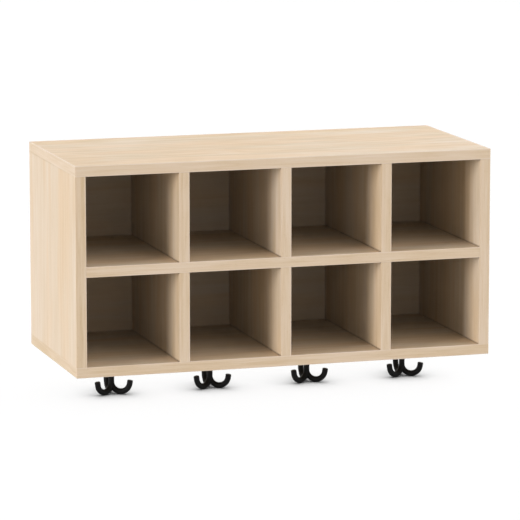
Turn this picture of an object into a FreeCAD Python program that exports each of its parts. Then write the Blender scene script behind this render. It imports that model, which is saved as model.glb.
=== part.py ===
import FreeCAD, Part
import math
import os

# Wall-mounted coat shelf: an open case of eight compartments with four swivelling triple hooks below it.
# Millimetres. The origin is the centre of the case's rear face, which lies on the wall.
# +X is to the right, +Y goes into the wall and +Z is up, so the open front faces -Y.

# Case
case_width = 738.0
case_depth = 323.0
case_height = 360.0
board = 18.0
back_board = 16.0
columns = 4

# Edge bands
edge_band = 2.0
edge_round = 0.5

# Glued dowels
dowel_diameter = 8.0
dowel_in_face = 11.0
dowel_in_edge = 18.0
through_dowel_grip = 16.0
dowel_chamfer = 0.8
dowel_glue_gap = 0.05
dowel_end_gap = 0.5
dowel_inset = 50.0

# Screws through the back board, from the rear
back_screw_diameter = 4.0
back_screw_head = 8.0
back_screw_length = 40.0

# Holes for the four wall screws
wall_hole_diameter = 6.5
wall_hole_chamfer = 0.6
wall_hole_drop = 30.0

# Hook rods
hook_end_inset = 102.5
hook_setback = 161.5
hook_drop = 63.7
hook_rod = 10.0
arm_count = 3
arm_first_angle = -30.0
arm_bend_radius = 16.5
arm_lean = 9.5
arm_tip_straight = 6.5
arm_tip_round = 1.2

# Hook bases
base_diameter = 42.0
base_rim = 3.6
base_height = 12.0
boss_diameter = 18.0
base_blend = 3.0
base_edge_round = 0.8

# Hook base screws
base_screw_diameter = 3.5
base_screw_head = 7.0
base_screw_length = 16.0
base_screw_circle = 32.0
base_screw_count = 3

# Screw heads and shanks
screw_clearance = 0.2
screw_sink = 0.1
screw_tip = 4.0
pilot_gap = 0.05
pilot_end_gap = 0.5
recess_span_share = 0.55
recess_slot_share = 0.14
recess_depth_share = 0.22

# Swivel
pivot_diameter = 5.0
pivot_running_gap = 0.06
pivot_head = 9.5
pivot_head_height = 3.8
pivot_head_side_gap = 0.8
pivot_end_play = 0.1
pivot_key_span = 3.0
pivot_key_depth = 2.0
pivot_grip = 13.0
pivot_thread_gap = 0.05
washer_diameter = 14.0
washer_thickness = 1.0
washer_bore_gap = 0.15

# Places that follow from the sizes above
front = -case_depth
band_back = front + edge_band
half_width = case_width / 2
half_height = case_height / 2
inner_half_width = half_width - board
inner_half_height = half_height - board
back_front = -back_board
back_middle = -back_board / 2
shelf_half = board / 2
column_width = (2 * inner_half_width - (columns - 1) * board) / columns
column_pitch = column_width + board
column_centres = [(i - (columns - 1) / 2) * column_pitch for i in range(columns)]
divider_centres = [(i - (columns - 2) / 2) * column_pitch for i in range(columns - 1)]
row_centre = (shelf_half + inner_half_height) / 2
underside = -half_height
hook_pitch = (case_width - 2 * hook_end_inset) / (columns - 1)
hook_centres = [(i - (columns - 1) / 2) * hook_pitch for i in range(columns)]
hook_row = front + hook_setback
arm_angles = [arm_first_angle + i * 360.0 / arm_count for i in range(arm_count)]
base_screw_first_angle = arm_first_angle + 180.0 / arm_count
washer_top = underside - base_height - pivot_end_play
stem_top = washer_top - washer_thickness
stem_foot = underside - hook_drop + hook_rod / 2 + arm_bend_radius
head_seat = pivot_head_height + pivot_end_play + screw_clearance

same_place = 1e-6
centre = FreeCAD.Vector(0, 0, 0)
X = FreeCAD.Vector(1, 0, 0)
Y = FreeCAD.Vector(0, 1, 0)
Z = FreeCAD.Vector(0, 0, 1)

nodes = {}
holes = {}


def point(x, y, z):
    return FreeCAD.Vector(x, y, z)


def box(low, high):
    size = [b - a for a, b in zip(low, high)]
    return Part.makeBox(*size, point(*low))


def cylinder(radius, start, direction, length):
    return Part.makeCylinder(radius, length, start, direction)


def drill(hole, *names):
    for name in names:
        holes.setdefault(name, []).append(hole)


# Boards

def make_boards():
    nodes["top_panel"] = box(
        (-half_width + edge_band, band_back, inner_half_height), (half_width - edge_band, 0, half_height))
    nodes["bottom_panel"] = box(
        (-half_width + edge_band, band_back, -half_height), (half_width - edge_band, 0, -inner_half_height))
    nodes["left_side_panel"] = box(
        (-half_width, band_back, -inner_half_height), (-inner_half_width, 0, inner_half_height))
    nodes["right_side_panel"] = box(
        (inner_half_width, band_back, -inner_half_height), (half_width, 0, inner_half_height))
    nodes["middle_shelf"] = box(
        (-inner_half_width, band_back, -shelf_half), (inner_half_width, back_front, shelf_half))
    for number, x in enumerate(divider_centres, 1):
        left = x - board / 2
        right = x + board / 2
        nodes[f"upper_divider_{number}"] = box(
            (left, band_back, shelf_half), (right, back_front, inner_half_height))
        nodes[f"lower_divider_{number}"] = box(
            (left, band_back, -inner_half_height), (right, back_front, -shelf_half))
    nodes["back_panel"] = box(
        (-inner_half_width, back_front, -inner_half_height), (inner_half_width, 0, inner_half_height))


# Edge bands: strips glued to the boards' edges, with their outer long edges rounded

def rounded_strip(low, high, outward, round_ends):
    strip = box(low, high)
    outer = max(vertex.Point.dot(outward) for vertex in strip.Vertexes)
    longest = max(edge.Length for edge in strip.Edges)
    chosen = []
    for edge in strip.Edges:
        on_outer_face = all(abs(vertex.Point.dot(outward) - outer) < same_place for vertex in edge.Vertexes)
        if on_outer_face and (round_ends or edge.Length > longest - same_place):
            chosen.append(edge)
    return strip.makeFillet(edge_round, chosen)


def front_band(left, right, low, high, round_ends=False):
    return rounded_strip((left, front, low), (right, band_back, high), -Y, round_ends)


def make_edge_bands():
    levels = {"top": (inner_half_height, half_height), "bottom": (-half_height, -inner_half_height)}
    for name, (low, high) in levels.items():
        nodes[f"{name}_front_band"] = front_band(-half_width, half_width, low, high, round_ends=True)
        left = rounded_strip(
            (-half_width, band_back, low), (-half_width + edge_band, 0, high), -X, False)
        right = rounded_strip(
            (half_width - edge_band, band_back, low), (half_width, 0, high), X, False)
        nodes[f"{name}_end_bands"] = Part.makeCompound([left, right])
    nodes["left_side_band"] = front_band(
        -half_width, -inner_half_width, -inner_half_height, inner_half_height)
    nodes["right_side_band"] = front_band(
        inner_half_width, half_width, -inner_half_height, inner_half_height)
    nodes["shelf_band"] = front_band(-inner_half_width, inner_half_width, -shelf_half, shelf_half)
    for number, x in enumerate(divider_centres, 1):
        left = x - board / 2
        right = x + board / 2
        nodes[f"upper_divider_band_{number}"] = front_band(left, right, shelf_half, inner_half_height)
        nodes[f"lower_divider_band_{number}"] = front_band(left, right, -inner_half_height, -shelf_half)


# Dowels: each one is centred on a joint plane, and its hole is drilled into the boards that it joins

def dowel(joint, direction, before, after):
    radius = dowel_diameter / 2
    start = joint - direction * before
    pin = cylinder(radius, start, direction, before + after)
    ends = [edge for edge in pin.Edges if edge.Closed]
    return pin.makeChamfer(dowel_chamfer, ends)


def dowel_hole(joint, direction, before, after):
    radius = dowel_diameter / 2 + dowel_glue_gap
    start = joint - direction * (before + dowel_end_gap)
    return cylinder(radius, start, direction, before + after + 2 * dowel_end_gap)


def join(pins, joint, direction, face_board, edge_board):
    pins.append(dowel(joint, direction, dowel_in_face, dowel_in_edge))
    drill(dowel_hole(joint, direction, dowel_in_face, dowel_in_edge), face_board, edge_board)


def make_dowels():
    corner_rows = (front + dowel_inset, front / 2, -dowel_inset)
    inner_rows = (front + dowel_inset, back_front - dowel_inset)
    pins = []
    for name, level, direction in (("top", inner_half_height, -Z), ("bottom", -inner_half_height, Z)):
        for side, x in (("left", -half_width + board / 2), ("right", half_width - board / 2)):
            for y in corner_rows:
                join(pins, point(x, y, level), direction, f"{name}_panel", f"{side}_side_panel")
        for x in column_centres:
            join(pins, point(x, back_middle, level), direction, f"{name}_panel", "back_panel")
    for row, level, direction in (("upper", inner_half_height, -Z), ("lower", -inner_half_height, Z)):
        panel = "top_panel" if row == "upper" else "bottom_panel"
        for number, x in enumerate(divider_centres, 1):
            for y in inner_rows:
                join(pins, point(x, y, level), direction, panel, f"{row}_divider_{number}")
    for side, x, direction in (("left", -inner_half_width, X), ("right", inner_half_width, -X)):
        for y in inner_rows:
            join(pins, point(x, y, 0), direction, f"{side}_side_panel", "middle_shelf")
        for z in (-row_centre, row_centre):
            join(pins, point(x, back_middle, z), direction, f"{side}_side_panel", "back_panel")
    nodes["dowels"] = Part.makeCompound(pins)

    through_pins = []
    half_length = board / 2 + through_dowel_grip
    for number, x in enumerate(divider_centres, 1):
        for y in inner_rows:
            middle = point(x, y, 0)
            through_pins.append(dowel(middle, Z, half_length, half_length))
            drill(dowel_hole(middle, Z, half_length, half_length),
                  "middle_shelf", f"upper_divider_{number}", f"lower_divider_{number}")
    nodes["through_dowels"] = Part.makeCompound(through_pins)


# Countersunk screws: the head's flat face lies at head_face and the shank runs along direction

def revolved(profile, place, direction):
    outline = [point(*corner) for corner in profile + profile[:1]]
    solid = Part.Face(Part.makePolygon(outline)).revolve(centre, Z, 360)
    solid.Placement = FreeCAD.Placement(place, FreeCAD.Rotation(Z, direction))
    return solid


def cross_recess(head):
    span = head * recess_span_share
    slot = head * recess_slot_share
    depth = head * recess_depth_share
    bar = Part.makeBox(span, slot, depth, point(-span / 2, -slot / 2, 0))
    return bar.fuse(Part.makeBox(slot, span, depth, point(-slot / 2, -span / 2, 0)))


def countersunk_screw(head, diameter, length, place, direction):
    cone = (head - diameter) / 2
    profile = [(0, 0, 0), (head / 2, 0, 0), (diameter / 2, 0, cone), (diameter / 2, 0, length - screw_tip),
               (0, 0, length)]
    screw = revolved(profile, centre, Z).cut(cross_recess(head))
    screw.Placement = FreeCAD.Placement(place, FreeCAD.Rotation(Z, direction))
    return screw


def countersunk_hole(head, diameter, depth, place, direction):
    wide = head / 2 + screw_clearance
    narrow = diameter / 2 + screw_clearance
    profile = [(0, 0, -screw_sink), (wide, 0, -screw_sink), (wide, 0, 0), (narrow, 0, wide - narrow),
               (narrow, 0, depth), (0, 0, depth)]
    return revolved(profile, place, direction)


def pilot_hole(diameter, length, place, direction):
    return cylinder(diameter / 2 + pilot_gap, place, direction, length + pilot_end_gap)


def make_back_screws():
    targets = [(x, 0, "middle_shelf") for x in column_centres]
    for number, x in enumerate(divider_centres, 1):
        targets.append((x, row_centre, f"upper_divider_{number}"))
        targets.append((x, -row_centre, f"lower_divider_{number}"))
    screws = []
    for x, z, name in targets:
        place = point(x, -screw_sink, z)
        screws.append(countersunk_screw(back_screw_head, back_screw_diameter, back_screw_length, place, -Y))
        drill(countersunk_hole(back_screw_head, back_screw_diameter, back_board, place, -Y), "back_panel")
        drill(pilot_hole(back_screw_diameter, back_screw_length, place, -Y), name)
    nodes["back_screws"] = Part.makeCompound(screws)


# Wall holes: near the top of the outer compartments of both rows, eased on the side where the screws go in

def make_wall_holes():
    radius = wall_hole_diameter / 2
    eased = radius + wall_hole_chamfer
    for x in (column_centres[0], column_centres[-1]):
        for roof in (inner_half_height, -shelf_half):
            z = roof - wall_hole_drop
            mouth = point(x, back_front, z)
            drill(cylinder(radius, mouth, Y, back_board), "back_panel")
            drill(Part.makeCone(eased, radius, wall_hole_chamfer, mouth, Y), "back_panel")


# Triple hook: a stem and bent arms, each arm kept to its own sector so that they meet on flat faces

def sector(angle):
    reach = 4 * arm_bend_radius
    half_turn = 180.0 / arm_count
    floor = underside - hook_drop - hook_rod
    corners = [point(0, 0, floor)]
    for degrees in (angle - half_turn, angle, angle + half_turn):
        turn = math.radians(degrees)
        corners.append(point(reach * math.cos(turn), reach * math.sin(turn), floor))
    face = Part.Face(Part.makePolygon(corners + corners[:1]))
    return face.extrude(Z * (hook_drop + hook_rod))


def arm(angle):
    lean = math.radians(arm_lean)
    section = Part.Face(Part.Wire(Part.makeCircle(hook_rod / 2, point(0, 0, stem_foot), Z)))
    bend = section.revolve(point(arm_bend_radius, 0, stem_foot), -Y, 180 - arm_lean)
    end = point(arm_bend_radius * (1 + math.cos(lean)), 0, stem_foot - arm_bend_radius * math.sin(lean))
    tip = cylinder(hook_rod / 2, end, point(math.sin(lean), 0, math.cos(lean)), arm_tip_straight)
    rim = max((edge for edge in tip.Edges if edge.Closed), key=lambda edge: edge.CenterOfMass.z)
    piece = bend.fuse(tip.makeFillet(arm_tip_round, [rim]))
    piece.rotate(centre, Z, angle)
    return piece.common(sector(angle))


def triple_hook():
    stem = cylinder(hook_rod / 2, point(0, 0, stem_foot), Z, stem_top - stem_foot)
    hook = stem.multiFuse([arm(angle) for angle in arm_angles]).removeSplitter()
    thread_radius = pivot_diameter / 2 + pivot_thread_gap
    return hook.cut(cylinder(thread_radius, point(0, 0, stem_top), -Z, pivot_grip + pilot_end_gap))


# Hook base: a round plate blended into a boss that traps the pivot bolt's head against the bottom board

def base_screw_places():
    radius = base_screw_circle / 2
    head_face = underside - base_rim + screw_sink
    places = []
    for i in range(base_screw_count):
        turn = math.radians(base_screw_first_angle + i * 360.0 / base_screw_count)
        places.append(point(radius * math.cos(turn), radius * math.sin(turn), head_face))
    return places


def hook_base():
    rim = base_diameter / 2
    boss = boss_diameter / 2
    shelf = underside - base_rim
    foot = underside - base_height
    diagonal = math.sqrt(0.5)
    corners = [
        Part.LineSegment(point(0, 0, underside), point(rim, 0, underside)),
        Part.LineSegment(point(rim, 0, underside), point(rim, 0, shelf + base_edge_round)),
        Part.Arc(point(rim, 0, shelf + base_edge_round),
                 point(rim - base_edge_round * (1 - diagonal), 0, shelf + base_edge_round * (1 - diagonal)),
                 point(rim - base_edge_round, 0, shelf)),
        Part.LineSegment(point(rim - base_edge_round, 0, shelf), point(boss + base_blend, 0, shelf)),
        Part.Arc(point(boss + base_blend, 0, shelf),
                 point(boss + base_blend * (1 - diagonal), 0, shelf - base_blend * (1 - diagonal)),
                 point(boss, 0, shelf - base_blend)),
        Part.LineSegment(point(boss, 0, shelf - base_blend), point(boss, 0, foot + base_edge_round)),
        Part.Arc(point(boss, 0, foot + base_edge_round),
                 point(boss - base_edge_round * (1 - diagonal), 0, foot + base_edge_round * (1 - diagonal)),
                 point(boss - base_edge_round, 0, foot)),
        Part.LineSegment(point(boss - base_edge_round, 0, foot), point(0, 0, foot)),
        Part.LineSegment(point(0, 0, foot), point(0, 0, underside)),
    ]
    plate = Part.Face(Part.Wire([curve.toShape() for curve in corners])).revolve(centre, Z, 360)
    seat = cylinder(pivot_head / 2 + pivot_head_side_gap, point(0, 0, underside), -Z, head_seat)
    bore = cylinder(pivot_diameter / 2 + pivot_running_gap, point(0, 0, underside), -Z, base_height)
    screw_holes = [countersunk_hole(base_screw_head, base_screw_diameter, base_rim, place, Z)
                   for place in base_screw_places()]
    return plate.cut(Part.makeCompound([seat.fuse(bore)] + screw_holes))


# Pivot bolt: its head rides in the base's seat and its shank is screwed into the stem

def pivot_bolt():
    head_foot = underside - head_seat + pivot_end_play
    shank_foot = stem_top - pivot_grip
    head = cylinder(pivot_head / 2, point(0, 0, head_foot), Z, pivot_head_height)
    shank = cylinder(pivot_diameter / 2, point(0, 0, shank_foot), Z, head_foot - shank_foot)
    key_circle = pivot_key_span / math.sqrt(3)
    key_top = head_foot + pivot_head_height
    turns = [math.radians(60 * i) for i in range(7)]
    corners = [point(key_circle * math.cos(turn), key_circle * math.sin(turn), key_top) for turn in turns]
    key = Part.Face(Part.makePolygon(corners)).extrude(-Z * pivot_key_depth)
    return head.fuse(shank).removeSplitter().cut(key)


def thrust_washer():
    top = point(0, 0, washer_top)
    ring = cylinder(washer_diameter / 2, top, -Z, washer_thickness)
    return ring.cut(cylinder(pivot_diameter / 2 + washer_bore_gap, top, -Z, washer_thickness))


def make_hooks():
    patterns = {"triple_hook": triple_hook(), "hook_base": hook_base(), "pivot_bolt": pivot_bolt(),
                "thrust_washer": thrust_washer()}
    screws = []
    for number, x in enumerate(hook_centres, 1):
        spot = point(x, hook_row, 0)
        for name, pattern in patterns.items():
            nodes[f"{name}_{number}"] = pattern.translated(spot)
        for place in base_screw_places():
            screws.append(countersunk_screw(
                base_screw_head, base_screw_diameter, base_screw_length, place + spot, Z))
            drill(pilot_hole(base_screw_diameter, base_screw_length, place + spot, Z), "bottom_panel")
    nodes["hook_base_screws"] = Part.makeCompound(screws)


make_boards()
make_edge_bands()
make_dowels()
make_back_screws()
make_wall_holes()
make_hooks()

for name, cuts in holes.items():
    nodes[name] = nodes[name].cut(Part.makeCompound(cuts))

os.makedirs("parts", exist_ok=True)
for name, shape in nodes.items():
    shape.exportStep(f"parts/{name}.step")
    box_size = shape.BoundBox
    print(f"{name}: {len(shape.Solids)} solids, valid {shape.isValid()}, {shape.Volume / 1000:.2f} cm3, "
          f"{box_size.XLength:.1f} x {box_size.YLength:.1f} x {box_size.ZLength:.1f} mm")
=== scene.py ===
# %% [markdown]
# # Wall-mounted coat shelf
# The shelf is a glued case of light wood board with eight open compartments and four black triple hooks
# under it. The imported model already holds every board, band, screw and hook at its real size, so this
# lesson loads it as a fixed frame and spends its effort on finishes, light and the camera. Rebuilding the
# boards as new meshes would only risk moving them.

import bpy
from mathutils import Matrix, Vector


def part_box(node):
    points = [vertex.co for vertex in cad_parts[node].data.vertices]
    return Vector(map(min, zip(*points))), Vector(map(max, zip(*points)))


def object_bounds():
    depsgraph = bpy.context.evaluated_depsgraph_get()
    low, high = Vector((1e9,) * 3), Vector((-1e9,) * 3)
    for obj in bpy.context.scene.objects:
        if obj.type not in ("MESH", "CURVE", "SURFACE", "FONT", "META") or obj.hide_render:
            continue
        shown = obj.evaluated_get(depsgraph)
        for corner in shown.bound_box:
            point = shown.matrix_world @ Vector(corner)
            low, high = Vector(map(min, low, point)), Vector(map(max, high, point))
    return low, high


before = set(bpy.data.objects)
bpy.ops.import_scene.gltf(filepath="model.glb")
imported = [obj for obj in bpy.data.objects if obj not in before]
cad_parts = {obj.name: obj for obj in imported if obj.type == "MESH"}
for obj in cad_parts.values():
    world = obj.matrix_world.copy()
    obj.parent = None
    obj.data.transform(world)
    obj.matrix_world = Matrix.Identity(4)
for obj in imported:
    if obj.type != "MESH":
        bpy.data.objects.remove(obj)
cad_low, cad_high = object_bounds()
print("nodes:", len(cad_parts))

# %% Modules
import math

import bmesh
import bpy
from mathutils import Vector

scene = bpy.context.scene
print("unit: metre, rear face of the case on the plane y = 0")

# %% [markdown]
# ## Camera
# The picture was taken from a long way off with a long lens, a little to the left of the case and a little
# above it. A camera placed by eye would miss the small convergence of the edges, so its place and lens come
# from the case's own corners: seven corners in the picture fix the distance, the two angles and the lens.

# %% Camera at the picture's angle
camera_place = Vector((-1.8448, -6.1263, 1.0380))
look_right = math.radians(17.2128)
look_down = math.radians(9.638)
lens_mm = 251.32
sensor_mm = 36.0

look = Vector((
    math.sin(look_right) * math.cos(look_down),
    math.cos(look_right) * math.cos(look_down),
    -math.sin(look_down),
))
camera_data = bpy.data.cameras.new("picture_camera")
camera_data.lens = lens_mm
camera_data.sensor_width = sensor_mm
camera = bpy.data.objects.new("picture_camera", camera_data)
camera.location = camera_place
camera.rotation_mode = "QUATERNION"
camera.rotation_quaternion = look.to_track_quat("-Z", "Y")
scene.collection.objects.link(camera)
scene.camera = camera
print("camera", round((camera_place - (cad_low + cad_high) / 2).length, 2), "m from the shelf's middle")

# %% [markdown]
# ## A short way to write shader nodes
# Every finish below is a small tree of shader nodes. Writing nodes.new and links.new line by line hides the
# idea of a finish behind bookkeeping, so one helper makes a node, sets its fields and joins its inputs.
# Three more do a sum, open a finish and close it.

# %% Node helpers
def node(tree, kind, inputs=None, **fields):
    made = tree.nodes.new(kind)
    for field, value in fields.items():
        setattr(made, field, value)
    for socket, value in (inputs or {}).items():
        if isinstance(value, bpy.types.NodeSocket):
            tree.links.new(value, made.inputs[socket])
        else:
            made.inputs[socket].default_value = value
    return made


def math_node(tree, operation, a, b=0.0, clamp=False):
    return node(tree, "ShaderNodeMath", {0: a, 1: b}, operation=operation, use_clamp=clamp).outputs[0]


def new_finish(name):
    finish = bpy.data.materials.new(name)
    finish.use_nodes = True
    finish.node_tree.nodes.clear()
    return finish, finish.node_tree


def close_finish(tree, shader):
    node(tree, "ShaderNodeOutputMaterial", {"Surface": shader.outputs[0]})


print("node helpers ready")

# %% [markdown]
# ## Grain that runs the right way
# On the real boards the grain runs along the length: across the shelf on the flat boards and up and down on
# the upright ones. A texture can be steered with unwrapped coordinates or with plain object coordinates.
# Object coordinates are simpler here, because every node sits at the origin and its places are real metres.
# The helper turns x, y, z into along, across and through the board, and shifts each board to its own spot
# in the pattern so that no two boards repeat.

# %% Grain coordinates
def object_place(tree):
    return node(tree, "ShaderNodeTexCoord").outputs["Object"]


def split_xyz(tree, vector):
    return node(tree, "ShaderNodeSeparateXYZ", {0: vector}).outputs


def grain_space(tree, along, across, through, shift, shorten=1.0):
    split = split_xyz(tree, object_place(tree))
    turned = node(tree, "ShaderNodeCombineXYZ", {
        "X": split[along], "Y": split[across], "Z": split[through]})
    moved = node(tree, "ShaderNodeVectorMath", {0: turned.outputs[0], 1: (shorten, 1.0, 1.0), 2: shift},
                 operation="MULTIPLY_ADD")
    return moved.outputs[0]


print("grain coordinates ready")

# %% [markdown]
# ## Marks along the grain
# Marks in wood are long along the grain and narrow across it. Every kind of mark could have a texture of its
# own, but one noise can make most of them if its place is stretched first. Its repeats per metre are given
# along, across and through the board. A layer of noise then swings about its middle, so that it darkens as
# much as it lightens, and layers can simply be added up.

# %% Stretched noise
noise_middle = 0.5


def stretched_noise(tree, space, repeats, detail=2.0, roughness=0.5, distortion=0.0):
    scaled = node(tree, "ShaderNodeVectorMath", {0: space, 1: repeats}, operation="MULTIPLY")
    noise = node(tree, "ShaderNodeTexNoise", {
        "Vector": scaled.outputs[0], "Scale": 1.0, "Detail": detail, "Roughness": roughness,
        "Distortion": distortion})
    return noise.outputs["Fac"]


def swing(tree, value, strength):
    return math_node(tree, "MULTIPLY", math_node(tree, "SUBTRACT", value, noise_middle), strength)


def total(tree, start, *parts):
    value = start
    for part in parts:
        value = math_node(tree, "ADD", value, part)
    return value


print("noise helpers ready")

# %% [markdown]
# ## Light maple board
# The boards look like light maple, from a warm tan in the darkest marks to a pale cream. A photograph of
# maple would bring all its colours at once, but a finish made of noise can be looked at from any distance
# and never repeats. So the colours stand in one ramp, and the layers of noise only choose a place on it.

# %% Maple colours
maple_tones = (
    (0.00, (0.710, 0.510, 0.292)),
    (0.30, (0.785, 0.590, 0.384)),
    (0.52, (0.842, 0.651, 0.458)),
    (0.78, (0.885, 0.704, 0.528)),
    (1.00, (0.928, 0.756, 0.606)),
)


def tone_ramp(tree, value, tones):
    ramp = node(tree, "ShaderNodeValToRGB", {"Fac": value})
    stops = ramp.color_ramp.elements
    while len(stops) < len(tones):
        stops.new(1.0)
    for stop, (place, colour) in zip(stops, tones):
        stop.position = place
        stop.color = (*colour, 1.0)
    return ramp.outputs["Color"]


print("maple ramp of", len(maple_tones), "tones")

# %% [markdown]
# ## Cream and peach patches
# A sheet of maple drifts softly between cream and peach. These patches differ in hue more than in
# brightness, so a place on the ramp can't give them, and they are a tint laid over the ramp's colour. A Mix
# node keeps its two colours in inputs 6 and 7 and the result in output 2, and a helper names these.

# %% Maple patches
cream = (0.997, 1.024, 1.058, 1.0)
peach = (1.004, 0.972, 0.916, 1.0)
patch_from = 0.34
patch_to = 0.66
first_colour = 6
second_colour = 7
mixed_colour = 2


def mix_colours(tree, amount, first, second, **fields):
    inputs = {"Factor": amount, first_colour: first, second_colour: second}
    return node(tree, "ShaderNodeMix", inputs, data_type="RGBA", **fields).outputs[mixed_colour]


def map_range(tree, value, low, high, to_low=0.0, to_high=1.0, **fields):
    inputs = {"Value": value, "From Min": low, "From Max": high, "To Min": to_low, "To Max": to_high}
    return node(tree, "ShaderNodeMapRange", inputs, **fields).outputs["Result"]


def patch_tint(tree, space, tint):
    patches = stretched_noise(tree, space, repeats=(3.0, 16.0, 16.0), detail=2.0, distortion=0.7)
    amount = map_range(tree, patches, patch_from, patch_to, noise_middle - tint / 2, noise_middle + tint / 2,
                       interpolation_type="SMOOTHSTEP")
    return mix_colours(tree, amount, cream, peach, clamp_factor=False)


def maple_colour(tree, space, value, tint):
    return mix_colours(tree, 1.0, tone_ramp(tree, value, maple_tones), patch_tint(tree, space, tint),
                       blend_type="MULTIPLY")


print("patches between cream and peach ready")

# %% [markdown]
# ## Flecks and growth rings
# Maple has short dark flecks, and its growth rings come to the surface as faint lines along the board.
# Drawn marks would have to be placed one by one. Here the flecks are the highest tips of a very fine noise,
# and the rings are bands, bent by noise and squeezed so that they run nearly straight.

# %% Flecks and growth rings
fleck_limit = 0.68
fleck_depth = 0.22
ring_squeeze = (0.12, 1.0, 1.0)


def flecks(tree, space):
    dashes = stretched_noise(tree, space, repeats=(150.0, 1300.0, 1300.0), detail=1.0)
    return math_node(tree, "MULTIPLY", math_node(tree, "GREATER_THAN", dashes, fleck_limit), fleck_depth)


def growth_rings(tree, space):
    squeezed = node(tree, "ShaderNodeVectorMath", {0: space, 1: ring_squeeze}, operation="MULTIPLY")
    return node(tree, "ShaderNodeTexWave", {
        "Vector": squeezed.outputs[0], "Scale": 14.0, "Distortion": 6.0, "Detail": 3.0,
        "Detail Scale": 1.2},
        wave_type="BANDS", bands_direction="Y", wave_profile="SAW").outputs["Fac"]


print("flecks and growth rings ready")

# %% [markdown]
# ## Layers of the grain
# From far off a board drifts from light to dark, from nearer it has streaks, and close up it has lines and
# fibres. One noise with much detail would make them all equally strong, so each size is a layer of its own,
# with a strength that was chosen by comparing the render with the picture. A board's figure makes the
# streaks, lines and rings stronger or weaker together.

# %% Maple layers
drift_strength = 0.45
broad_strength = 0.60
streak_strength = 0.85
line_strength = 0.45
fibre_strength = 0.42
ring_strength = 0.14


def maple_layers(tree, space, tone, figure):
    drift = stretched_noise(tree, space, repeats=(1.6, 3.0, 3.0), detail=1.0)
    broad = stretched_noise(tree, space, repeats=(4.0, 26.0, 26.0), detail=2.0, distortion=0.6)
    streaks = stretched_noise(tree, space, repeats=(6.0, 75.0, 75.0), detail=3.0, distortion=0.3)
    lines = stretched_noise(tree, space, repeats=(8.0, 320.0, 320.0), detail=3.0, roughness=0.6)
    fibres = stretched_noise(tree, space, repeats=(26.0, 1400.0, 1400.0), detail=2.0)
    value = total(
        tree, tone,
        swing(tree, drift, drift_strength),
        swing(tree, broad, broad_strength * figure),
        swing(tree, streaks, streak_strength * figure),
        swing(tree, lines, line_strength * figure),
        swing(tree, fibres, fibre_strength),
        swing(tree, growth_rings(tree, space), ring_strength * figure))
    value = math_node(tree, "SUBTRACT", value, flecks(tree, space))
    return value, streaks, fibres


print("maple layers: drift, broad, streaks, lines, fibres, rings and flecks")

# %% [markdown]
# ## Cut edges
# Where a board was sawn or drilled and has no band, its chipboard core shows: ragged chips in several
# browns. Plain cells would look like a mosaic, so their places are first pushed about by noise, and dust is
# sprinkled over them.

# %% Chipboard core
chip_tones = (
    (0.00, (0.190, 0.105, 0.050)),
    (0.45, (0.430, 0.280, 0.150)),
    (1.00, (0.640, 0.480, 0.300)),
)
chip_push = (0.004, 0.004, 0.004)
chip_strength = 0.70
chip_start = 0.18
dust_strength = 0.9


def even_noise(tree, place, scale, detail, output="Fac"):
    noise = node(tree, "ShaderNodeTexNoise", {"Vector": place, "Scale": scale, "Detail": detail})
    return noise.outputs[output]


def spread(tree, value, amount, start):
    return math_node(tree, "ADD", math_node(tree, "MULTIPLY", value, amount), start)


def chipboard(tree):
    place = object_place(tree)
    push = even_noise(tree, place, scale=420.0, detail=3.0, output="Color")
    pushed = node(tree, "ShaderNodeVectorMath", {0: push, 1: chip_push, 2: place},
                  operation="MULTIPLY_ADD").outputs[0]
    chips = node(tree, "ShaderNodeTexVoronoi", {"Vector": pushed, "Scale": 430.0}, feature="F1")
    dust = even_noise(tree, place, scale=2600.0, detail=3.0)
    shade = split_xyz(tree, chips.outputs["Color"])["X"]
    shade = spread(tree, shade, chip_strength, swing(tree, dust, dust_strength))
    shade = math_node(tree, "ADD", shade, chip_start, clamp=True)
    return tone_ramp(tree, shade, chip_tones), dust


print("core of", len(chip_tones), "browns")

# %% [markdown]
# ## Where the core shows
# The raw core lies open on the boards' rear edges and inside the back board's holes. Those faces could get a
# second material slot, but they would have to be picked one by one. The direction that a surface faces picks
# them too: rear edges face the wall, and on the back board every face that looks neither to the front nor to
# the rear is an edge or the wall of a hole.

# %% Faces of the core
facing_limit = 0.5


def facing(tree, axis):
    return split_xyz(tree, node(tree, "ShaderNodeTexCoord").outputs["Normal"])[axis]


def rear_edge(tree):
    return math_node(tree, "GREATER_THAN", facing(tree, "Y"), facing_limit)


def hole_walls(tree):
    return math_node(tree, "LESS_THAN", math_node(tree, "ABSOLUTE", facing(tree, "Y")), facing_limit)


print("core on rear edges and in holes")

# %% [markdown]
# ## Scuffs
# The flat boards carry things that are pushed in and out, so they have a few hair-thin scuffs from front to
# back. Grooves in the mesh could show them, but real scuffs change the gloss more than the shape. So they
# are the tips of a noise that is stretched from front to back, kept in some areas only.

# %% Scuffs
scuff_limit = 0.70
scuffed_area_limit = 0.50


def scuffs(tree):
    place = object_place(tree)
    hairs = stretched_noise(tree, place, repeats=(850.0, 7.0, 850.0), detail=1.0)
    areas = stretched_noise(tree, place, repeats=(9.0, 5.0, 9.0), detail=1.0)
    return math_node(tree, "MULTIPLY", math_node(tree, "GREATER_THAN", hairs, scuff_limit),
                     math_node(tree, "GREATER_THAN", areas, scuffed_area_limit))


print("scuffs ready")

# %% [markdown]
# ## Walls of the compartments
# Each of the eight compartments is a box of boards, and its inner corners get a painted shade that the open
# faces don't have. A finish could be told every board's place, but the columns and the rows repeat. So one
# folded distance, measured from the nearest compartment's middle, finds the walls of all eight.

# %% Walls of the compartments
corner_reach = 0.003
surface_slack = 0.0005
inner_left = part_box("left_side_panel")[1][0]
inner_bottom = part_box("bottom_panel")[1][2]
inner_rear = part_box("back_panel")[0][1]
first_divider = [corner[0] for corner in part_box("upper_divider_1")]
shelf_faces = [corner[2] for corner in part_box("middle_shelf")]


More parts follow.
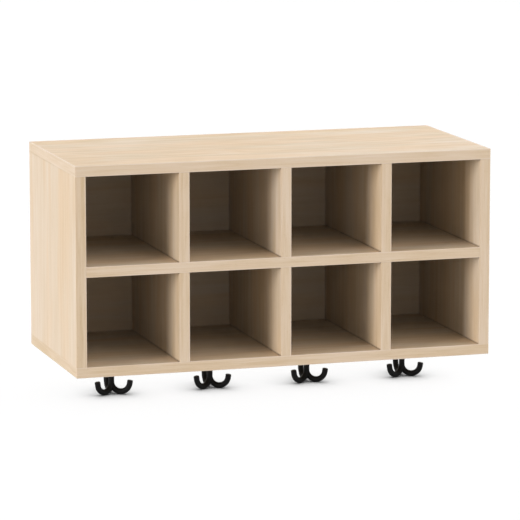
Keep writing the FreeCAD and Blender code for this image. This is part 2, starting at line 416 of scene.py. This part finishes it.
def near_wall(tree, place, start, near_face, far_face):
    half = (near_face - start) / 2
    from_start = math_node(tree, "SUBTRACT", place, start + half)
    from_middle = math_node(tree, "PINGPONG", from_start, (far_face - start) / 2)
    return map_range(tree, from_middle, half - corner_reach, half)


def inside_case(tree, x, y, z):
    in_width = math_node(tree, "LESS_THAN", math_node(tree, "ABSOLUTE", x), surface_slack - inner_left)
    in_height = math_node(tree, "LESS_THAN", math_node(tree, "ABSOLUTE", z), surface_slack - inner_bottom)
    in_depth = math_node(tree, "LESS_THAN", y, surface_slack + inner_rear)
    return math_node(tree, "MULTIPLY", in_width, math_node(tree, "MULTIPLY", in_height, in_depth))


print("a compartment is", round((first_divider[0] - inner_left) * 1000, 1), "mm wide")

# %% [markdown]
# ## Painted shade in the corners
# Inside the compartments every joint between two boards shows as a thin dark line of shade, and this shade
# is painted into the board's colour. It is strongest near the front and fades towards the back. Thin strips
# could be laid into the corners, but they would be pieces that the shelf doesn't have, so the painted shade
# is part of the board's finish. A surface in a compartment always lies against one of its walls, and where
# it comes close to a second wall there is a corner.

# %% Painted corner shade
# painted shade: a dark brown laid into the inner corners of the compartments
corner_shade_colour = (0.27, 0.18, 0.11, 1.0)
shade_at_front = 0.72
shade_at_rear = 0.18


def painted_corner_shade(tree):
    x, y, z = split_xyz(tree, object_place(tree))
    sides = near_wall(tree, x, inner_left, *first_divider)
    floors = near_wall(tree, z, inner_bottom, *shelf_faces)
    rear = map_range(tree, y, inner_rear - corner_reach, inner_rear)
    corner = math_node(tree, "SUBTRACT", total(tree, sides, floors, rear), 1.0, clamp=True)
    line = math_node(tree, "MULTIPLY", corner, inside_case(tree, x, y, z))
    strength = map_range(tree, y, cad_low.y, inner_rear, shade_at_front, shade_at_rear)
    return math_node(tree, "MULTIPLY", line, strength)


print("corner lines", corner_reach * 1000, "mm wide")

# %% [markdown]
# ## One finish for a whole board
# A board's finish brings the maple, the painted corner shade, the scuffs and the core together. Separate
# materials for each would need extra slots on the boards, so they are mixed in one tree instead. The gloss
# follows the streaks, and a bump far below a millimetre makes the fibres catch the light in a close view.

# %% Maple board finish
scuff_tone = 0.05
scuff_gloss = 0.14
core_roughness = 0.9
core_relief = 4.0
fibre_relief = 0.5


def maple_board(name, directions, shift, look, core, scuffed=False):
    finish, tree = new_finish(name)
    tone, figure, shorten, tint = look
    space = grain_space(tree, *directions, shift, shorten)
    value, streaks, fibres = maple_layers(tree, space, tone, figure)
    gloss = spread(tree, streaks, amount=0.16, start=0.42)
    if scuffed:
        hairs = scuffs(tree)
        value = spread(tree, hairs, scuff_tone, value)
        gloss = spread(tree, hairs, scuff_gloss, gloss)
    maple = maple_colour(tree, space, value, tint)
    # the painted corner shade darkens the maple colour here
    corner_shaded_maple = mix_colours(tree, painted_corner_shade(tree), maple, corner_shade_colour)
    core_colour, crumbs = chipboard(tree)
    is_core = core(tree)
    colour = mix_colours(tree, is_core, corner_shaded_maple, core_colour)
    rough = math_node(tree, "MAXIMUM", gloss, math_node(tree, "MULTIPLY", is_core, core_roughness))
    crumbs = math_node(tree, "MULTIPLY", math_node(tree, "MULTIPLY", crumbs, core_relief), is_core)
    relief = spread(tree, fibres, fibre_relief, crumbs)
    bump = node(tree, "ShaderNodeBump", {"Strength": 0.35, "Distance": 0.00012, "Height": relief})
    shader = node(tree, "ShaderNodeBsdfPrincipled", {
        "Base Color": colour, "Roughness": rough, "Normal": bump.outputs["Normal"],
        "Specular IOR Level": 0.25})
    close_finish(tree, shader)
    return finish


print("maple board finish ready")

# %% [markdown]
# ## A look for each board
# No two sheets of maple are alike. All boards could share one look, but the top and the left side show most
# and differ in the picture. A board's look is four numbers: its tone, how strong its figure is, how much
# shorter its streaks are, and how strong its patches are. The top has short, lively streaks, the side is
# calmer, and the back board is a plain sheet. The places of the top and the left side in the pattern were
# picked: warm patches in the middle of the top, and a peach strip in the front half of the side.

# %% Looks and places of the boards
board_look = (0.57, 1.0, 1.0, 1.0)
picked_looks = {
    "top_panel": (0.46, 1.35, 1.6, 1.2),
    "left_side_panel": (0.65, 0.8, 1.0, 1.0),
    "back_panel": (0.57, 0.5, 1.0, 1.0),
}
picked_places = {"top_panel": (38.709, 22.278, 30.938), "left_side_panel": (23.054, 28.651, 6.594)}
place_step = (0.731, 0.417, 0.293)


def board_shift(number):
    return tuple(step * number for step in place_step)


print("picked looks:", sorted(picked_looks))

# %% [markdown]
# ## Boards get their grain
# One shared finish would run the grain the same way on every board. So each board has its own copy with its
# own direction and its own place in the pattern: along X on the top, bottom, shelf and back, and along Z on
# the sides and dividers.

# %% Finish every board
rows_and_columns = [(row, n) for row in ("upper", "lower") for n in (1, 2, 3)]
boards_flat = ["top_panel", "bottom_panel", "middle_shelf"]
boards_upright = ["left_side_panel", "right_side_panel"] + [
    f"{row}_divider_{n}" for row, n in rows_and_columns]
first_flat_board = 1
first_upright_board = 11
back_board = 31


def dress(node_name, finish):
    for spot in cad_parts[node_name].material_slots:
        spot.material = finish


def finish_board(number, name, directions, core, scuffed=False):
    place = picked_places.get(name, board_shift(number))
    look = picked_looks.get(name, board_look)
    dress(name, maple_board(f"maple_{name}", directions, place, look, core, scuffed))


for number, name in enumerate(boards_flat, first_flat_board):
    finish_board(number, name, "XYZ", rear_edge, scuffed=True)
for number, name in enumerate(boards_upright, first_upright_board):
    finish_board(number, name, "ZYX", rear_edge)
finish_board(back_board, "back_panel", "XZY", hole_walls)
print("boards dressed:", len(boards_flat) + len(boards_upright) + 1)

# %% [markdown]
# ## Edge bands
# The bands are 2 mm strips glued over the cut edges. They carry the same maple print, but pressed as one
# long strip: straighter, with finer lines. The boards' layers would look too broad on a strip of 18 mm, so
# the bands have four layers of their own.

# %% Grain of the edge bands
def band_grain(tree, space, tone):
    broad = stretched_noise(tree, space, repeats=(4.5, 30.0, 30.0), distortion=0.5)
    waves = stretched_noise(tree, space, repeats=(11.0, 190.0, 190.0), detail=2.0, distortion=0.6)
    lines = stretched_noise(tree, space, repeats=(7.0, 430.0, 430.0), detail=3.0, roughness=0.6)
    fibres = stretched_noise(tree, space, repeats=(26.0, 1600.0, 1600.0))
    value = total(
        tree, tone,
        swing(tree, broad, strength=0.70),
        swing(tree, waves, strength=0.85),
        swing(tree, lines, strength=0.55),
        swing(tree, fibres, strength=0.36))
    value = math_node(tree, "SUBTRACT", value, flecks(tree, space))
    return value, lines, fibres


print("band layers: broad, waves, lines, fibres and flecks")

# %% [markdown]
# ## Glue lines and milled edges with painted highlights
# Where a band meets its board the glue shows as a hairline, and edges that are milled round after gluing are
# paler. The paler stripe is partly this milling and partly a painted highlight, standing in for the light
# that the round edge catches. Both could be thin faces with a slot of their own, but stripes in the finish
# need no new mesh. The band is its own piece, so the hairline is a darker stripe in the last tenths of a
# millimetre on its glued side, and a milled edge is a paler stripe, milling and painted highlight together,
# along that edge.

# %% Edge band finish
glue_line = 0.0003
glue_tone = -0.20
# painted highlight: the milled stripe is made paler than milling alone, for the light on the round edge
milled_highlight_width = 0.0012
milled_paling_and_highlight = 0.40


def maple_band(name, along, across, through, shift, tone, glued, milled_highlight_edges):
    finish, tree = new_finish(name)
    space = grain_space(tree, along, across, through, shift)
    value, lines, fibres = band_grain(tree, space, tone)
    split = split_xyz(tree, object_place(tree))
    from_glue = math_node(tree, "SUBTRACT", math_node(tree, "ABSOLUTE", split[through]), glued)
    value = spread(tree, math_node(tree, "LESS_THAN", from_glue, glue_line), glue_tone, value)
    for edge in milled_highlight_edges:
        from_edge = math_node(tree, "ABSOLUTE", math_node(tree, "SUBTRACT", split[across], edge))
        value = spread(tree, math_node(tree, "LESS_THAN", from_edge, milled_highlight_width), milled_paling_and_highlight, value)
    gloss = spread(tree, lines, amount=0.14, start=0.38)
    bump = node(tree, "ShaderNodeBump", {"Strength": 0.25, "Distance": 0.0001, "Height": fibres})
    shader = node(tree, "ShaderNodeBsdfPrincipled", {
        "Base Color": tone_ramp(tree, value, maple_tones), "Roughness": gloss,
        "Normal": bump.outputs["Normal"], "Specular IOR Level": 0.3})
    close_finish(tree, shader)
    return finish


print("edge band finish ready, hairline", glue_line * 1000, "mm")

# %% [markdown]
# ## Bands get their tone and painted light
# Strips come from different rolls, so each has a slightly different tone. One tone for all would hide where
# a strip ends at a corner, so the outer bands and the shelf's have picked tones and the dividers' share one.
# The picked tones also carry painted light: the top bands are lighter and the bottom bands darker, and the
# right band is lighter than the left. Milled, with a painted highlight, are both edges of the long flat
# bands, the right edge of the upright ones and the outer edge of the end bands.

# %% Finish every edge band
front_glued = abs(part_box("top_front_band")[1][1])
end_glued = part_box("top_panel")[1][0]
band_tone = 0.52
# painted light: top and right bands lighter, bottom and left bands darker, on top of each roll's tone
tones_and_painted_light = {
    "top_front_band": 0.58, "bottom_front_band": 0.43, "shelf_band": 0.53, "left_side_band": 0.47,
    "right_side_band": 0.57, "top_end_bands": 0.54, "bottom_end_bands": 0.38}
bands_flat = ["top_front_band", "bottom_front_band", "shelf_band"]
bands_upright = ["left_side_band", "right_side_band"] + [
    f"{row}_divider_band_{n}" for row, n in rows_and_columns]
first_flat_band = 41
first_upright_band = 44
top_ends = 61
bottom_ends = 62


def finish_band(number, name, directions, glued, milled_highlight_edges):
    tone = tones_and_painted_light.get(name, band_tone)
    place = board_shift(number)
    dress(name, maple_band(f"maple_{name}", *directions, place, tone, glued, milled_highlight_edges))


for number, name in enumerate(bands_flat, first_flat_band):
    low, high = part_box(name)
    finish_band(number, name, "XZY", front_glued, (low[2], high[2]))
for number, name in enumerate(bands_upright, first_upright_band):
    finish_band(number, name, "ZXY", front_glued, (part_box(name)[1][0],))
finish_band(top_ends, "top_end_bands", "YZX", end_glued, (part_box("top_end_bands")[1][2],))
finish_band(bottom_ends, "bottom_end_bands", "YZX", end_glued, (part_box("bottom_end_bands")[0][2],))
print("bands dressed:", len(bands_flat) + len(bands_upright) + 2)

# %% [markdown]
# ## Black hooks
# The hooks and their bases are powder-coated: a black, slightly uneven skin with a fine orange-peel
# surface. A flat black would lose the shape of the arms, so the roughness drifts a little and a small bump
# breaks up the highlights along the bends. Where hanging loops rub, on the surfaces that face up, the coat
# is polished.

# %% Powder coat
coat_tones = ((0.3, (0.004, 0.004, 0.004)), (0.9, (0.011, 0.011, 0.011)))
rubbed_from = 0.45
rubbed_to = 0.95
rubbed_tone = 0.3
rubbed_gloss = -0.25
hook_numbers = (1, 2, 3, 4)


def powder_coat(name):
    finish, tree = new_finish(name)
    place = object_place(tree)
    peel = even_noise(tree, place, scale=900.0, detail=2.0)
    drift = even_noise(tree, place, scale=60.0, detail=3.0)
    rubbed = map_range(tree, facing(tree, "Z"), rubbed_from, rubbed_to, interpolation_type="SMOOTHSTEP")
    rubbed = math_node(tree, "MULTIPLY", rubbed, drift)
    colour = tone_ramp(tree, spread(tree, rubbed, rubbed_tone, drift), coat_tones)
    rough = spread(tree, rubbed, rubbed_gloss, spread(tree, drift, amount=0.25, start=0.42))
    bump = node(tree, "ShaderNodeBump", {"Strength": 0.30, "Distance": 0.00015, "Height": peel})
    shader = node(tree, "ShaderNodeBsdfPrincipled", {
        "Base Color": colour, "Roughness": rough, "Normal": bump.outputs["Normal"],
        "Specular IOR Level": 0.12})
    close_finish(tree, shader)
    return finish


black_coat = powder_coat("black_powder_coat")
for n in hook_numbers:
    dress(f"triple_hook_{n}", black_coat)
    dress(f"hook_base_{n}", black_coat)
print("hooks dressed:", len(hook_numbers))

# %% [markdown]
# ## Fasteners
# Screws and pivot bolts are zinc-plated steel: bright, a little yellowish and cloudy. The washers are
# natural nylon and the dowels raw beech. They are small or hidden, so short trees are enough, but none is
# one flat colour. Zinc and nylon differ only in their numbers, so they share one clouded finish.

# %% Zinc, nylon and beech
zinc_tones = ((0.3, (0.50, 0.49, 0.45)), (0.7, (0.68, 0.68, 0.66)))
nylon_tones = ((0.3, (0.66, 0.65, 0.60)), (0.7, (0.76, 0.75, 0.71)))
beech_tones = ((0.3, (0.52, 0.33, 0.19)), (0.7, (0.68, 0.49, 0.32)))


def clouded(name, scale, detail, tones, gloss_amount, gloss_start, metallic):
    finish, tree = new_finish(name)
    cloud = even_noise(tree, object_place(tree), scale, detail)
    shader = node(tree, "ShaderNodeBsdfPrincipled", {
        "Base Color": tone_ramp(tree, cloud, tones), "Metallic": metallic,
        "Roughness": spread(tree, cloud, gloss_amount, gloss_start)})
    close_finish(tree, shader)
    return finish


def beech(name):
    finish, tree = new_finish(name)
    space = grain_space(tree, "Z", "Y", "X", shift=(0.0, 0.0, 0.0))
    fibres = stretched_noise(tree, space, repeats=(60.0, 900.0, 900.0), detail=3.0)
    shader = node(tree, "ShaderNodeBsdfPrincipled", {
        "Base Color": tone_ramp(tree, fibres, beech_tones),
        "Roughness": spread(tree, fibres, amount=0.2, start=0.6)})
    close_finish(tree, shader)
    return finish


zinc = clouded("zinc_plate", 240.0, 4.0, zinc_tones, gloss_amount=0.25, gloss_start=0.22, metallic=1.0)
nylon = clouded("natural_nylon", 320.0, 3.0, nylon_tones, gloss_amount=0.2, gloss_start=0.42, metallic=0.0)
raw_beech = beech("raw_beech")
print("finishes:", zinc.name, nylon.name, raw_beech.name)

# %% [markdown]
# ## Fasteners get their finish
# Fasteners of one kind come out of one box and look alike. Each could have its own copy, as the boards do,
# but nobody would see the difference. So all screws and bolts share the zinc, all washers the nylon and all
# dowels the beech.

# %% Finish every fastener
for name in ("back_screws", "hook_base_screws"):
    dress(name, zinc)
for n in hook_numbers:
    dress(f"pivot_bolt_{n}", zinc)
    dress(f"thrust_washer_{n}", nylon)
for name in ("dowels", "through_dowels"):
    dress(name, raw_beech)
print("fasteners dressed")

# %% [markdown]
# ## Light on the shelf
# The picture was made in even studio light: the top and the left side are the brightest, the front edges a
# little darker, and the compartments fall off quickly into brown shade. Area lights would do, but each would
# have to be placed anew for every size of object. A dome and one soft sun have no place, only directions.
# The dome is even all round and brighter towards the right. Above the horizon it is brighter still on the
# right, and behind.

# %% Soft dome
even_glow = 0.394
right_glow = 0.686
upper_right_glow = 0.874
upper_rear_glow = 0.568
white = (1.0, 1.0, 1.0, 1.0)

world = bpy.data.worlds.new("soft_dome")
scene.world = world
world.use_nodes = True
dome = world.node_tree
dome.nodes.clear()
towards = split_xyz(dome, node(dome, "ShaderNodeTexCoord").outputs["Generated"])
right = math_node(dome, "MAXIMUM", towards["X"], 0.0)
behind = math_node(dome, "MAXIMUM", towards["Y"], 0.0)
above = math_node(dome, "GREATER_THAN", towards["Z"], 0.0)
upper = spread(dome, right, upper_right_glow, math_node(dome, "MULTIPLY", behind, upper_rear_glow))
strength = total(dome, even_glow, math_node(dome, "MULTIPLY", right, right_glow),
                 math_node(dome, "MULTIPLY", upper, above))
sky = node(dome, "ShaderNodeBackground", {"Color": white, "Strength": strength})
node(dome, "ShaderNodeOutputWorld", {"Surface": sky.outputs[0]})
brightest = even_glow + right_glow + upper_right_glow
print("dome", even_glow, "all round, up to", round(brightest, 3), "on the right")

# %% [markdown]
# ## Key light
# In the picture one large lamp stands low on the left and a little in front. It lights the left side and
# reaches the first part of each right-hand wall. A narrow sun would draw a sharp line of shade across those
# walls, so the key is a wide one, and its shade is soft.

# %% Key light
key_forward = math.radians(17.0)
key_height = math.radians(8.0)
key_energy = 1.68
key_width = math.radians(23.0)

to_key = Vector((
    -math.cos(key_forward) * math.cos(key_height),
    -math.sin(key_forward) * math.cos(key_height),
    math.sin(key_height),
))
key_data = bpy.data.lights.new("key", "SUN")
key_data.energy = key_energy
key_data.angle = key_width
key = bpy.data.objects.new("key", key_data)
key.rotation_mode = "QUATERNION"
key.rotation_quaternion = (-to_key).to_track_quat("-Z", "Y")
scene.collection.objects.link(key)
print("key", round(math.degrees(key_height)), "degrees high")

# %% [markdown]
# ## White ground
# The ground in the picture is pure white, with a soft grey shade right under each hook. A plain white floor
# under these lights would come out grey and throw its light back up at the shelf. So the floor is a grey
# that only its own light makes white, it is left out of the light that bounces, and an ambient occlusion
# node paints contact shade into its colour within 60 mm of whatever stands close to it.

# %% Ground
ground_half = 30.0
ground_level = cad_low.z
ground_grey = (0.05, 0.05, 0.05, 1.0)
contact_reach = 0.06
contact_samples = 16

ground_mesh = bpy.data.meshes.new("ground")
shape = bmesh.new()
bmesh.ops.create_grid(shape, x_segments=1, y_segments=1, size=ground_half)
shape.to_mesh(ground_mesh)
shape.free()
ground = bpy.data.objects.new("ground", ground_mesh)
ground.location.z = ground_level
scene.collection.objects.link(ground)
ground_finish, tree = new_finish("white_ground")
# painted contact shade: ambient occlusion darkens the ground's colour near the hooks
contact = node(tree, "ShaderNodeAmbientOcclusion", {"Color": ground_grey, "Distance": contact_reach},
               samples=contact_samples)
shader = node(tree, "ShaderNodeBsdfDiffuse", {"Color": contact.outputs["Color"]})
close_finish(tree, shader)
ground_mesh.materials.append(ground_finish)
ground.visible_diffuse = False
ground.visible_shadow = False
print("ground at", round(ground_level, 4))

# %% [markdown]
# ## Light for the ground
# A very wide sun from straight above lights the ground alone. The case would cover the ground under it with
# one large shade that the picture doesn't show, so light linking lets only the hooks and their bases block
# this sun.

# %% Light that only the hooks shade
wash_energy = 61.0
wash_width = math.radians(150.0)

lit = bpy.data.collections.new("ground_only")
lit.objects.link(ground)
shading = bpy.data.collections.new("hooks_only")
for n in hook_numbers:
    shading.objects.link(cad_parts[f"triple_hook_{n}"])
    shading.objects.link(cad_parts[f"hook_base_{n}"])
wash_data = bpy.data.lights.new("ground_wash", "SUN")
wash_data.energy = wash_energy
wash_data.angle = wash_width
wash_data.cycles.use_multiple_importance_sampling = False
wash = bpy.data.objects.new("ground_wash", wash_data)
wash.light_linking.receiver_collection = lit
wash.light_linking.blocker_collection = shading
scene.collection.objects.link(wash)
print("ground wash ready")

# %% [markdown]
# ## Picture settings
# The plain view transform keeps the white ground white and the wood's colours as they were chosen. One
# bounce of light is enough: with more, the compartments fill up with a reddish glow that the picture
# doesn't have.

# %% Picture settings
scene.view_settings.view_transform = "Standard"
scene.view_settings.look = "None"
scene.cycles.diffuse_bounces = 1
print("view transform:", scene.view_settings.view_transform)
